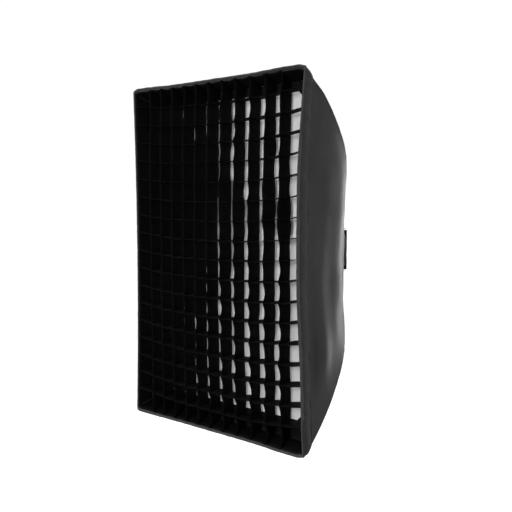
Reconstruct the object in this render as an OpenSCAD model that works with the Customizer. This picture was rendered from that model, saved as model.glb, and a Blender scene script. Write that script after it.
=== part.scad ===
// Rectangular rod-frame softbox on a rotating speed ring, with an egg-crate grid.
// Origin: centre of the bayonet seat. +Y points to the lamp, the front faces -Y, +Z is up.

/* [Front opening] */
// Width between the front corners, measured at the corner seams
front_w = 600; // [560:10:640]
// Height between the front corners, measured at the corner seams
front_h = 900; // [840:10:960]
// Depth of the lip in front of the recessed diffuser
lip_depth = 45; // [40:1:50]
// How far the side edges of the front are pulled in at their middle
side_pull = 19; // [10:1:24]
// How far the top and bottom panels dip between the seams
end_pull = 8; // [4:1:12]
// How far the side edges of the front bow forward at their middle
rim_bow = 8; // [0:1:12]

/* [Corner seams] */
// Depth of the seam beside the speed ring, behind the front plane
seam_depth = 487; // [480:1:494]
// Direction of the seam where it leaves the ring, from the box axis
leave_angle = 70; // [69:0.5:71]
// Direction of the seam where its two arcs meet
meet_angle = 38.3; // [37:0.1:39.5]
// Direction of the seam at the front corner
arrive_angle = 24.4; // [24:0.1:25]
// Straight run of the seam beside the rod socket
straight_run = 36; // [34:1:38]

/* [Cloth] */
// Thickness of the shell cloth, measured inward from the corner seam
shell_t = 2.2; // [1.8:0.1:2.2]
// Thickness of the silver lining, measured the same way
lining_t = 0.8; // [0.6:0.1:0.8]
// Thickness of the flat cloth pieces
cloth_t = 0.8; // [0.6:0.1:1]
// Gap between neighbouring cloth pieces
cloth_gap = 0.5; // [0.4:0.1:0.6]

/* [Speed ring] */
// Outside radius of the speed ring
ring_r = 76; // [75:0.5:77]
// Thickness of the speed ring
ring_t = 19.8; // [19:0.1:21]
// Radius of the hub that the speed ring turns on
hub_r = 50; // [49:0.5:51]
// Radius of the opening for the flash tube
tube_r = 42; // [40:0.5:43]
// Running clearance of the speed ring on its hub
run_gap = 0.05; // [0.03:0.01:0.08]

/* [Bayonet] */
// Radius of the seat flange
flange_r = 58; // [56:0.5:59]
// Thickness of the seat flange
flange_t = 3.7; // [3:0.1:4]
// Radius of the spigot behind the seat
spigot_r = 48.6; // [48:0.1:49]
// Length of the spigot behind the seat
spigot_l = 12; // [10:0.5:13]
// Radius over the three lugs
lug_r = 54.5; // [53:0.5:55]

/* [Rods] */
// Diameter of the spring rods
rod_d = 5; // [4.6:0.1:5]
// Distance of the rod's middle inside the corner seam
rod_inset = 10.3; // [10:0.1:10.4]

/* [Grid] */
// Spacing of the upright grid strips
grid_pitch_x = 46.5; // [44:0.5:47]
// Spacing of the level grid strips
grid_pitch_z = 49.2; // [46:0.2:50]
// Depth of the grid strips
grid_depth = 42; // [38:1:42]
// Number of upright strips
grid_cols = 11; // [9:2:11]
// Number of level strips
grid_rows = 17; // [15:2:17]
// Height of the middle level strip above the box axis
grid_lift = 2; // [0:1:10]

/* [Neck] */
// Half the width of the square neck
neck_half = 62; // [61.5:0.5:63]
// Length of the neck flaps
neck_l = 24; // [18:1:28]

/* [Hidden] */
$fn = 96;

// Depths are measured back from the front plane; the seat lies at this depth.
seat_depth = seam_depth + 1.7;
corner_r = norm([front_w, front_h]) / 2;
ux = front_w / 2 / corner_r;
uz = front_h / 2 / corner_r;
diagonal = atan2(front_h, front_w);

// The corner seam in its diagonal plane, as [radius, depth]: a straight run and two tangent arcs.
// Both radii follow from the run's end, the front corner and the three directions.
bend_r = ring_r + straight_run * sin(leave_angle);
bend_d = seam_depth - straight_run * cos(leave_angle);
rear_dr = cos(meet_angle) - cos(leave_angle);
rear_dd = sin(leave_angle) - sin(meet_angle);
fore_dr = cos(arrive_angle) - cos(meet_angle);
fore_dd = sin(meet_angle) - sin(arrive_angle);
arc_det = rear_dr * fore_dd - fore_dr * rear_dd;
rear_arc = ((corner_r - bend_r) * fore_dd - fore_dr * bend_d) / arc_det;
fore_arc = (rear_dr * bend_d - (corner_r - bend_r) * rear_dd) / arc_det;
rear_c = [bend_r - rear_arc * cos(leave_angle), bend_d - rear_arc * sin(leave_angle)];
fore_c = [corner_r - fore_arc * cos(arrive_angle), -fore_arc * sin(arrive_angle)];

// A seam point is named by its direction, and on the straight run by
// leave_angle plus its distance in millimetres behind the bend.
function seam(way, inset) =
    way > leave_angle
        ? seam(leave_angle, inset) + (way - leave_angle) * [-sin(leave_angle), cos(leave_angle)]
        : way > meet_angle
            ? rear_c + (rear_arc - inset) * [cos(way), sin(way)]
            : fore_c + (fore_arc - inset) * [cos(way), sin(way)];
function way_at(depth, inset) = asin((depth - fore_c[1]) / (fore_arc - inset));

// The panels swell out around the ring and are pulled in towards the front.
back_way = leave_angle + 19;
back_r = seam(back_way, 0)[0];
swell_r = 240;
side_swell = 37;
end_swell = 9;
swell_depth = 5.6;
bow_reach = 90;
function nearness(r) = max(0, (swell_r - r) / (swell_r - back_r));
function crown(s, r) = 1 - pow(abs(s), 2 + 2 * nearness(r));
function side_set(r) = side_swell * pow(nearness(r), 2) - side_pull * (0.4 + 0.6 * pow(r / corner_r, 3));
function end_set(r) = end_swell * pow(nearness(r), 2)
    - end_pull * sin(180 * (r - back_r) / (corner_r - back_r));
function bow(depth) = rim_bow * max(0, 1 - depth / bow_reach);

// Points of the right and top panels: s runs from -1 to 1 between the two seams.
function side_point(s, way, inset) =
    let (c = seam(way, inset), r = seam(way, 0)[0], w = crown(s, r))
    [c[0] * ux + side_set(r) * w,
     c[1] - seat_depth + (swell_depth * pow(nearness(r), 2) - bow(c[1])) * w,
     s * c[0] * uz];
function end_point(s, way, inset) =
    let (c = seam(way, inset), r = seam(way, 0)[0], w = crown(s, r))
    [-s * c[0] * ux,
     c[1] - seat_depth + swell_depth * pow(nearness(r), 2) * w,
     c[0] * uz + end_set(r) * w];
function panel_point(is_side, s, way, inset) =
    is_side ? side_point(s, way, inset) : end_point(s, way, inset);

// Stations along the seams, from the ring to the front edge of the shell.
loop_steps = 12;
front_way = way_at(lip_depth + cloth_gap / 2, 0);
shell_ways = concat(
    [for (i = [0:2]) back_way + (leave_angle - back_way) * i / 3],
    [for (i = [0:8]) leave_angle + (meet_angle - leave_angle) * i / 9],
    [for (i = [0:7]) meet_angle + (front_way - meet_angle) * i / 7]);
lip_front = 2.2;
lip_ways = [for (i = [0:3]) way_at((lip_depth - cloth_gap / 2) * (1 - i / 3) + lip_front * i / 3, 0)];

// A closed slab between two grids of points, given from back to front.
module slab(outer, inner) {
    rows = len(outer);
    cols = len(outer[0]);
    function o(i, j) = i * cols + j;
    function n(i, j) = rows * cols + i * cols + j;
    faces = concat(
        [for (i = [0:rows - 2], j = [0:cols - 2]) each [
            [o(i, j), o(i + 1, j), o(i + 1, j + 1)], [o(i, j), o(i + 1, j + 1), o(i, j + 1)],
            [n(i, j), n(i + 1, j + 1), n(i + 1, j)], [n(i, j), n(i, j + 1), n(i + 1, j + 1)]]],
        [for (j = [0:cols - 2], i = [0, rows - 1]) let (a = i == 0 ? j : j + 1, b = i == 0 ? j + 1 : j)
            each [[o(i, a), o(i, b), n(i, b)], [o(i, a), n(i, b), n(i, a)]]],
        [for (i = [0:rows - 2], j = [0, cols - 1]) let (a = j == 0 ? i + 1 : i, b = j == 0 ? i : i + 1)
            each [[o(a, j), o(b, j), n(b, j)], [o(a, j), n(b, j), n(a, j)]]]);
    polyhedron(points = concat([for (row = outer) each row], [for (row = inner) each row]), faces = faces);
}

// One layer of a panel: between two insets from the seam, over some stations and some of its width.
module layer(is_side, ways, inset, thick, reach) {
    grid = [for (at = [inset, inset + thick]) [for (way = ways)
        [for (j = [0:loop_steps]) panel_point(is_side, reach(seam(way, 0)[0]) * (2 * j / loop_steps - 1), way, at)]]];
    slab(grid[0], grid[1]);
}

// A ribbon that runs round all four sides, with a section given as [depth, inset] points.
function loop_place(k, depth, inset) =
    let (side = floor(k / loop_steps), s = 2 * (k - side * loop_steps) / loop_steps - 1,
         p = panel_point(side % 2 == 0, s, way_at(depth, inset), inset))
    side < 2 ? p : [-p[0], p[1], -p[2]];
function ring_faces(stations, m) = [for (k = [0:stations - 1], i = [0:m - 1])
    let (a = k * m + i, b = k * m + (i + 1) % m, c = ((k + 1) % stations) * m)
    each [[a, c + i, c + (i + 1) % m], [a, c + (i + 1) % m, b]]];
module ribbon(section) {
    stations = 4 * loop_steps;
    points = [for (k = [0:stations - 1], q = section) loop_place(k, q[0], q[1])];
    polyhedron(points = points, faces = ring_faces(stations, len(section)));
}

// Outline of the opening at one depth as [x, z] points, with its corners cut off by trim.
function outline(depth, inset, trim) =
    let (way = way_at(depth, inset), c = seam(way, inset),
         sides = [for (is_side = [true, false]) let (reach = 1 - trim / (c[0] * (is_side ? uz : ux)))
             [for (j = [0:loop_steps]) panel_point(is_side, reach * (2 * j / loop_steps - 1), way, inset)]],
         half = [for (p = concat(sides[0], sides[1])) [p[0], p[2]]])
    concat(half, -half);

// Extrudes an [x, z] outline between two depths.
module between(d0, d1) {
    translate([0, d1 - seat_depth, 0]) rotate([90, 0, 0]) linear_extrude(d1 - d0) children();
}

// A disc about the box axis between two Y values.
module disc(r, y0, y1) {
    translate([0, y1, 0]) rotate([90, 0, 0]) cylinder(r = r, h = y1 - y0);
}

// Turns a shape drawn with X along a diagonal into one of the four corners.
CORNERS = [diagonal, 180 - diagonal, 180 + diagonal, -diagonal];
module corner(i) {
    rotate([0, -CORNERS[i], 0]) children();
}

// Places a Z-axis shape on the rod's line at a seam direction, pointing to the front.
module on_rod(way) {
    c = seam(way, rod_inset);
    lean = min(way, leave_angle);
    translate([c[0], c[1] - seat_depth, 0]) rotate([90, 0, 0]) rotate([0, lean, 0]) children();
}

// A round bar along one of the rod's arcs, ending short of each end by bead_gap.
bead_gap = 0.3;
module rod_arc(centre, radius, from, to) {
    trim = bead_gap / radius * 180 / PI;
    translate([centre[0], centre[1] - seat_depth, 0]) rotate([0, 0, from + trim])
        rotate_extrude(angle = to - from - 2 * trim) translate([radius - rod_inset, 0]) circle(d = rod_d);
}

// Places along the ring's axis.
ring_back = -flange_t - 0.2;
ring_front = ring_back - ring_t;
hub_front = ring_front - 0.3;
ring_pocket_r = [57, 70];
ring_web = 5;
screw_y = ring_front + 5.2;
screw_r = 3;
rod_socket_l = 28;
rod_socket_d = 9.2;
rod_socket_bore = 6.4;
saddle_t = 3;
saddle_angle = 11;
rivet_angle = 8;
rivet_y = ring_front + 6;
retainer_pitch_r = 46;
retainer_shank_r = 1.2;
rivet_hole_r = 1.55;
rivet_l = 9.3;
// Lugs on the spigot and the blind hole for the lamp's latch pin.
lug_w = 32;
lug_y = [7, 10.5];
latch_place = 53.5;
latch_r = 2.1;
latch_l = 3;

module bayonet_ring() {
    color("silver") difference() {
        union() {
            disc(hub_r, hub_front, 0);
            disc(flange_r, -flange_t, 0);
            disc(spigot_r, 0, spigot_l);
            for (a = [90, 210, 330]) rotate([0, a, 0]) intersection() {
                disc(lug_r, lug_y[0], lug_y[1]);
                translate([spigot_r - 4, lug_y[0] - 1, -lug_w / 2]) cube([20, lug_y[1] - lug_y[0] + 2, lug_w]);
            }
        }
        disc(tube_r, hub_front - 1, spigot_l + 1);
        for (a = [45:90:315]) rotate([0, a, 0]) translate([retainer_pitch_r, 0, 0])
            disc(retainer_shank_r + 0.05, hub_front - 1, hub_front + 9);
        translate([0, 0, latch_place]) disc(latch_r, -latch_l, 1);
    }
}

module retaining_ring() {
    color("dimgray") difference() {
        disc(56, hub_front - 3, hub_front);
        disc(tube_r, hub_front - 4, hub_front + 1);
        for (a = [45:90:315]) rotate([0, a, 0]) translate([retainer_pitch_r, 0, 0])
            disc(retainer_shank_r + 0.4, hub_front - 4, hub_front + 1);
    }
}

module retainer_screws() {
    color("gray") for (a = [45:90:315]) rotate([0, a, 0]) translate([retainer_pitch_r, 0, 0]) difference() {
        union() {
            disc(retainer_shank_r, hub_front - 3, hub_front + 8);
            disc(2.8, hub_front - 4.8, hub_front - 3);
        }
        translate([0, hub_front - 3.6, 0]) rotate([90, 0, 0]) cylinder(r = 1.2, h = 2, $fn = 6);
    }
}

module speed_ring() {
    color("dimgray") difference() {
        union() {
            difference() {
                disc(ring_r, ring_front, ring_back);
                difference() {
                    disc(ring_pocket_r[1], ring_front - 1, ring_back - ring_web);
                    disc(ring_pocket_r[0], ring_front - 2, ring_back);
                }
            }
            for (a = [0:45:315]) rotate([0, a, 0])
                translate([ring_pocket_r[0] - 1, ring_front + 1, -1.5])
                    cube([ring_pocket_r[1] - ring_pocket_r[0] + 2, ring_t - 3, 3]);
            translate([-8, ring_front, -ring_pocket_r[1] - 1]) cube([16, ring_t - 3, 15]);
        }
        disc(hub_r + run_gap, ring_front - 1, ring_back + 1);
        translate([0, screw_y, -ring_r - 1]) cylinder(r = screw_r + run_gap, h = 30);
        for (i = [0:3], a = [-rivet_angle, rivet_angle]) corner(i) rotate([0, a, 0])
            translate([ring_pocket_r[1] - 1, rivet_y, 0]) rotate([0, 90, 0]) cylinder(r = rivet_hole_r, h = 10);
    }
}

module rod_socket(i) {
    color("gray") corner(i) difference() {
        union() {
            intersection() {
                difference() {
                    disc(ring_r + saddle_t, ring_front + 2, ring_back - 1);
                    disc(ring_r + 0.1, ring_front, ring_back);
                }
                for (a = [-1, 1]) rotate([0, a * saddle_angle / 2, 0])
                    translate([0, ring_front, -8]) cube([100, ring_t, 16]);
            }
            difference() {
                on_rod(leave_angle + straight_run) cylinder(d = rod_socket_d, h = rod_socket_l + 4);
                disc(ring_r + 0.1, ring_front - 10, ring_back + 10);
            }
        }
        on_rod(leave_angle + straight_run - 4) cylinder(d = rod_socket_bore, h = rod_socket_l + 4);
        for (a = [-rivet_angle, rivet_angle]) rotate([0, a, 0])
            translate([ring_r - 1, rivet_y, 0]) rotate([0, 90, 0]) cylinder(r = rivet_hole_r, h = 10);
    }
}

module socket_rivets() {
    color("silver") for (i = [0:3], a = [-rivet_angle, rivet_angle]) corner(i) rotate([0, a, 0])
        translate([ring_pocket_r[1] + 0.5, rivet_y, 0]) rotate([0, 90, 0]) {
            cylinder(r = rivet_hole_r - 0.05, h = rivet_l);
            translate([0, 0, rivet_l]) cylinder(r1 = 2.6, r2 = 1.6, h = 1.2);
        }
}

// The lock screw bears on the hub; its knob sits below the ring, inside the shell.
screw_tip = hub_r + 0.2;
knob_top = ring_r + 2.5;
knob_h = 11;
module lock_screw() {
    color("silver") translate([0, screw_y, -knob_top - 8]) cylinder(r = screw_r, h = knob_top + 8 - screw_tip);
}

module lock_knob() {
    color("black") translate([0, screw_y, -knob_top - knob_h]) difference() {
        union() {
            cylinder(r = 7, h = knob_h - 2);
            translate([0, 0, knob_h - 2]) cylinder(r1 = 6.2, r2 = 5, h = 2);
        }
        for (a = [0:60:300]) rotate([0, 0, a]) translate([8.5, 0, -1]) cylinder(r = 2.6, h = knob_h - 1);
        translate([0, 0, knob_h - 8.2]) cylinder(r = screw_r + run_gap, h = 10);
    }
}

rod_tip_depth = 16;
rod_tip_way = way_at(rod_tip_depth, rod_inset);
module rod(i) {
    color("gainsboro") corner(i) {
        on_rod(leave_angle + straight_run - 6) cylinder(d = rod_d, h = straight_run - 6 - bead_gap);
        rod_arc(rear_c, rear_arc, meet_angle, leave_angle);
        rod_arc(fore_c, fore_arc, rod_tip_way, meet_angle);
        for (way = [leave_angle, meet_angle]) on_rod(way) sphere(d = rod_d + 0.3);
    }
}

module rod_ferrules() {
    color("silver") for (i = [0:3]) corner(i) on_rod(leave_angle + straight_run - 5.5) difference() {
        cylinder(d = rod_socket_bore - 0.2, h = rod_socket_l - 4);
        translate([0, 0, -1]) cylinder(d = rod_d + 0.04, h = rod_socket_l);
    }
}

module rod_tips() {
    color("black") for (i = [0:3]) corner(i) on_rod(way_at(rod_tip_depth + 10, rod_inset)) difference() {
        cylinder(d = rod_d + 0.9, h = 12.2);
        translate([0, 0, -1]) cylinder(d = rod_d + 0.2, h = 12.4);
    }
}

module corner_pocket(i) {
    color("black") corner(i) on_rod(way_at(41, rod_inset)) difference() {
        cylinder(d = rod_d + 3.2, h = 31);
        translate([0, 0, -1]) cylinder(d = rod_d + 1.7, h = 30.5);
    }
}

// Cloth loops that hold each rod near its seam; the middle one also holds the baffle.
baffle_depth = 240;
loop_depths = [110, baffle_depth];
module rod_loops() {
    color("black") for (i = [0:3], depth = loop_depths) corner(i)
        on_rod(way_at(depth + 7, rod_inset)) difference() {
            cylinder(d = rod_d + 1.8, h = 16);
            translate([0, 0, -1]) cylinder(d = rod_d + 0.6, h = 18);
        }
}

function to_seam(r) = 1 - 0.15 / r;
function off_corner(r) = 0.955;
lining_in = shell_t + cloth_gap;
module shell(is_side, flip) {
    color("dimgray") rotate([0, flip, 0])
        layer(is_side, shell_ways, 0, shell_t, function(r) to_seam(r));
}

module lining(is_side, flip) {
    color("silver") rotate([0, flip, 0])
        layer(is_side, shell_ways, lining_in, lining_t, function(r) to_seam(r));
}

module lip(is_side, flip) {
    color("dimgray") rotate([0, flip, 0])
        layer(is_side, lip_ways, 0, shell_t - 0.2, function(r) to_seam(r));
}

// Folded tape over the front edge of the lip.
module rim_binding() {
    color("gray") ribbon([[-0.6, -1.6], [9, -1.6], [9, -0.4], [0.6, -0.4],
        [0.6, 2.4], [9, 2.4], [9, 3.6], [-0.6, 3.6]]);
}

// The collar closes the back of the shell down to the square neck.
collar_back = seat_depth - 1.2;
collar_t = 1.2;
function square_point(k, half) =
    let (side = floor(k / loop_steps), s = 2 * (k - side * loop_steps) / loop_steps - 1,
         p = side % 2 == 0 ? [half, s * half] : [-s * half, half])
    side < 2 ? p : -p;
module rear_collar() {
    stations = 4 * loop_steps;
    rim = [for (k = [0:stations - 1], inset = [0, shell_t])
        let (side = floor(k / loop_steps), s = 2 * (k - side * loop_steps) / loop_steps - 1,
             p = panel_point(side % 2 == 0, s, back_way + cloth_gap, inset))
        side < 2 ? p : [-p[0], p[1], -p[2]]];
    points = [for (k = [0:stations - 1]) let (q = square_point(k, neck_half - 1))
        each [rim[2 * k], [q[0], collar_back - seat_depth, q[1]],
              [q[0], collar_back - collar_t - seat_depth, q[1]], rim[2 * k + 1]]];
    color("dimgray") polyhedron(points = points, faces = ring_faces(stations, 4));
}

// Each flap folds out about its sewn front edge.
flap_t = 1.2;
module neck_flap(turn, half_w) {
    color("black") rotate([0, turn, 0])
        translate([neck_half - flap_t, collar_back - seat_depth + 0.4, -half_w]) cube([flap_t, neck_l, 2 * half_w]);
}

// Tape strips inside the lip, one a side, that hold the grid.
module grid_loop_tape() {
    tape_ways = [for (depth = [38, 25, 12]) way_at(depth, 0)];
    color("black") for (is_side = [true, false], flip = [0, 180]) rotate([0, flip, 0])
        layer(is_side, tape_ways, shell_t + 0.1, 1.8, function(r) off_corner(r));
}

tape_depth = lip_depth + 5.4;
module diffuser_loop_tape() {
    color("black") between(tape_depth, tape_depth + 1.2) difference() {
        polygon(outline(tape_depth + 1.2, 5.6, 16));
        polygon(outline(tape_depth + 1.2, 22, 8));
    }
}

// Inner baffle: a smaller cloth held in mid-box by elastic straps.
baffle_half = [185, 285];
baffle_corner = 22;
module baffle_shape(grow) {
    w = baffle_half[0] + grow;
    h = baffle_half[1] + grow;
    r = baffle_corner + grow;
    square([2 * w, 2 * (h - r)], center = true);
    square([2 * (w - r), 2 * h], center = true);
    for (x = [-1, 1], z = [-1, 1]) translate([x * (w - r), z * (h - r)]) circle(r = r);
}

module inner_baffle() {
    color("white") between(baffle_depth, baffle_depth + cloth_t) baffle_shape(0);
}

binding_w = 9;
module baffle_binding() {
    color("black") difference() {
        between(baffle_depth - 1.2, baffle_depth + cloth_t + 1.2) difference() {
            baffle_shape(1.2);
            baffle_shape(-binding_w);
        }
        between(baffle_depth - 0.1, baffle_depth + cloth_t + 0.1) baffle_shape(0.1);
    }
}

// Straps run from the binding's edge to a snap on each wall, and to a rod loop at each corner.
strap_w = 14;
wall_gap = 9;
baffle_way = way_at(baffle_depth, lining_in + lining_t);
side_wall = side_point(0, baffle_way, lining_in + lining_t)[0];
end_wall = end_point(0, baffle_way, lining_in + lining_t)[2];
rod_here = seam(way_at(baffle_depth, rod_inset), rod_inset)[0];
module baffle_elastics() {
    corner_x = baffle_half[0] - baffle_corner * (1 - cos(diagonal));
    strap_from = norm([corner_x, baffle_half[1]]) + 1;
    color("black") {
        for (turn = [0, 180]) rotate([0, turn, 0]) {
            translate([baffle_half[0] + 1.5, baffle_depth - seat_depth - 0.2, -strap_w / 2])
                cube([side_wall - wall_gap - baffle_half[0] - 1.5, 1.2, strap_w]);
            translate([-strap_w / 2, baffle_depth - seat_depth - 0.2, baffle_half[1] + 1.5])
                cube([strap_w, 1.2, end_wall - wall_gap - baffle_half[1] - 1.5]);
        }
        for (i = [0:3]) corner(i) translate([strap_from, baffle_depth - seat_depth - 0.2, -strap_w / 2])
            cube([rod_here - 6.2 - strap_from, 1.2, strap_w]);
    }
}

// Each snap stands square to its sloping wall.
function wall_slope(is_side) =
    let (a = panel_point(is_side, 0, way_at(baffle_depth - 5, 0), 0),
         b = panel_point(is_side, 0, way_at(baffle_depth + 5, 0), 0), k = is_side ? 0 : 2)
    atan2(a[k] - b[k], b[1] - a[1]);
module snap() {
    cylinder(r = 6, h = 1.4);
    cylinder(r = 3.2, h = 4);
}

module baffle_snaps() {
    seat_y = baffle_depth - seat_depth + 0.4;
    color("silver") for (turn = [0, 180]) rotate([0, turn, 0]) {
        translate([side_wall - 0.4, seat_y, 0]) rotate([0, -90, wall_slope(true)]) snap();
        translate([0, seat_y, end_wall - 0.4]) rotate([180 - wall_slope(false), 0, 0]) snap();
    }
}

// The front diffuser lies against its tape; its border covers the edge of the white cloth.
white_w = 518;
white_h = 778;
diffuser_depth = tape_depth - 1.2;
edge_inset = 5.6;
corner_cut = 16;
module front_diffuser() {
    color("white") between(diffuser_depth, diffuser_depth + cloth_t)
        polygon(outline(tape_depth, edge_inset + 3, corner_cut));
}

module diffuser_border() {
    color("black") between(diffuser_depth - 1.6, diffuser_depth - 0.2) difference() {
        polygon(outline(tape_depth, edge_inset, corner_cut));
        square([white_w, white_h], center = true);
    }
}

// Grid strips are notched to half their depth and slide into each other.
strip_t = 0.8;
notch_w = 1.1;
grid_front = 1;
grid_back = grid_front + grid_depth;
border_t = 1.2;
grid_edge = outline(grid_back, edge_inset, 14);
function side_reach(z) =
    let (way = way_at(grid_back, edge_inset), c = seam(way, edge_inset))
    side_point(z / (c[0] * uz), way, edge_inset)[0] - border_t - 0.4;
function end_reach(x) =
    let (way = way_at(grid_back, edge_inset), c = seam(way, edge_inset))
    end_point(x / (c[0] * ux), way, edge_inset)[2] - border_t - 0.4;
col_x = [for (k = [0:grid_cols - 1]) (k - (grid_cols - 1) / 2) * grid_pitch_x];
row_z = [for (k = [0:grid_rows - 1]) grid_lift + (k - (grid_rows - 1) / 2) * grid_pitch_z];

// Outline of a strip along X: a plain edge at y0 and notches cut in from the edge at y1.
function notched(x0, x1, y0, y1, at) =
    let (mid = (y0 + y1) / 2 + (y0 < y1 ? -0.1 : 0.1))
    concat([[x0, y1], [x0, y0], [x1, y0], [x1, y1]],
        [for (i = [len(at) - 1:-1:0]) each [[at[i] + notch_w / 2, y1], [at[i] + notch_w / 2, mid],
            [at[i] - notch_w / 2, mid], [at[i] - notch_w / 2, y1]]]);

module grid_strips_level() {
    color("black") for (z = row_z) translate([0, -seat_depth, z - strip_t / 2]) linear_extrude(strip_t)
        polygon(notched(-side_reach(z), side_reach(z), grid_back, grid_front, col_x));
}

module grid_strips_upright() {
    color("black") for (x = col_x) translate([x - strip_t / 2, -seat_depth, 0]) rotate([90, 0, 90])
        linear_extrude(strip_t) polygon([for (p = notched(-end_reach(x), end_reach(x), grid_front, grid_back, row_z))
            [p[1], p[0]]]);
}

module grid_border() {
    color("black") between(grid_front, grid_back) difference() {
        polygon(grid_edge);
        polygon([for (p = grid_edge) [p[0] - sign(p[0]) * border_t, p[1] - sign(p[1]) * border_t]]);
    }
}

bayonet_ring();
retaining_ring();
retainer_screws();
speed_ring();
rod_socket(0);  // rod_socket_top_right
rod_socket(1);  // rod_socket_top_left
rod_socket(2);  // rod_socket_bottom_left
rod_socket(3);  // rod_socket_bottom_right
socket_rivets();
lock_screw();
lock_knob();
rod(0);  // rod_top_right
rod(1);  // rod_top_left
rod(2);  // rod_bottom_left
rod(3);  // rod_bottom_right
rod_ferrules();
rod_tips();
rod_loops();
corner_pocket(0);  // corner_pocket_top_right
corner_pocket(1);  // corner_pocket_top_left
corner_pocket(2);  // corner_pocket_bottom_left
corner_pocket(3);  // corner_pocket_bottom_right
shell(true, 0);  // shell_right
shell(true, 180);  // shell_left
shell(false, 0);  // shell_top
shell(false, 180);  // shell_bottom
lining(true, 0);  // lining_right
lining(true, 180);  // lining_left
lining(false, 0);  // lining_top
lining(false, 180);  // lining_bottom
lip(true, 0);  // lip_right
lip(true, 180);  // lip_left
lip(false, 0);  // lip_top
lip(false, 180);  // lip_bottom
rim_binding();
rear_collar();
neck_flap(0, neck_half - 2.5);  // neck_flap_right
neck_flap(180, neck_half - 2.5);  // neck_flap_left
neck_flap(-90, neck_half);  // neck_flap_top
neck_flap(90, neck_half);  // neck_flap_bottom
grid_loop_tape();
diffuser_loop_tape();
inner_baffle();
baffle_binding();
baffle_elastics();
baffle_snaps();
front_diffuser();
diffuser_border();
grid_strips_upright();
grid_strips_level();
grid_border();
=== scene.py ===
import math

import bpy
import numpy as np
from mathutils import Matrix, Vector


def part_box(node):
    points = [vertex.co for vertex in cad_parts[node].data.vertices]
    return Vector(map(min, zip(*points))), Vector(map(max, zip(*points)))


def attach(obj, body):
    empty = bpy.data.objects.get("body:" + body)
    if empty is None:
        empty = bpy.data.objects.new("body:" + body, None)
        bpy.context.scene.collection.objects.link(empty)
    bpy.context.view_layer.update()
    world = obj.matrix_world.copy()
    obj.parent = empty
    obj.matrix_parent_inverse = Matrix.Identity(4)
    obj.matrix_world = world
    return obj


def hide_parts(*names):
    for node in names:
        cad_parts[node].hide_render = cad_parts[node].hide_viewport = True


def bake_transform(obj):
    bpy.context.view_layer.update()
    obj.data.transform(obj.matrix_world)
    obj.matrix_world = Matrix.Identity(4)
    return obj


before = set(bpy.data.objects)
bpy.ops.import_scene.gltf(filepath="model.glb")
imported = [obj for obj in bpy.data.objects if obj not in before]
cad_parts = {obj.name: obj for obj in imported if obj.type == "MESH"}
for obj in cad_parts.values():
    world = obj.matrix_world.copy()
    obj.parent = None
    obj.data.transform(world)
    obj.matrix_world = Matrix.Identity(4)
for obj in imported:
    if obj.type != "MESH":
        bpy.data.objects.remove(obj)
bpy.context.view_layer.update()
SIDES = ("right", "left", "top", "bottom")

# ---------------------------------------------------------------- camera and light
cam_data = bpy.data.cameras.new("camera")
cam_data.sensor_width = 36.0
cam_data.lens = 52.05
cam_data.clip_end = 60.0
camera = bpy.data.objects.new("camera", cam_data)
bpy.context.collection.objects.link(camera)
camera.location = (1.3339, -1.8262, 0.1497)
camera.rotation_euler = (math.pi / 2 - 0.0758, 0.0, 0.723)
bpy.context.scene.camera = camera

view = bpy.context.scene.view_settings
view.view_transform = "Standard"
view.look = "None"

world = bpy.data.worlds.new("studio")
bpy.context.scene.world = world
world.use_nodes = True
world.node_tree.nodes["Background"].inputs[0].default_value = (1.0, 1.0, 1.0, 1.0)
world.node_tree.nodes["Background"].inputs[1].default_value = 0.30


def area_light(name, place, target, size, watts):
    data = bpy.data.lights.new(name, "AREA")
    data.shape = "RECTANGLE"
    data.size, data.size_y = size
    data.energy = watts
    light = bpy.data.objects.new(name, data)
    bpy.context.collection.objects.link(light)
    light.location = place
    light.rotation_euler = (Vector(target) - Vector(place)).to_track_quat("-Z", "Y").to_euler()
    light.visible_camera = False


area_light("key", (0.7, -3.4, 0.5), (0.0, -0.4, 0.0), (1.4, 1.4), 72.0)
area_light("side_fill", (2.9, 0.2, 1.2), (0.2, -0.3, 0.1), (1.2, 1.8), 26.0)
area_light("rear_left", (-1.05, 3.0, 0.15), (0.2, -0.2, 0.0), (0.6, 2.6), 20.0)
overhead = bpy.data.lights.new("overhead", "SUN")
overhead.energy = 3.0
overhead.angle = math.radians(50)
sky = bpy.data.objects.new("overhead", overhead)
bpy.context.collection.objects.link(sky)
sky.rotation_euler = (0.12, 0.10, 0.0)


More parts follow.
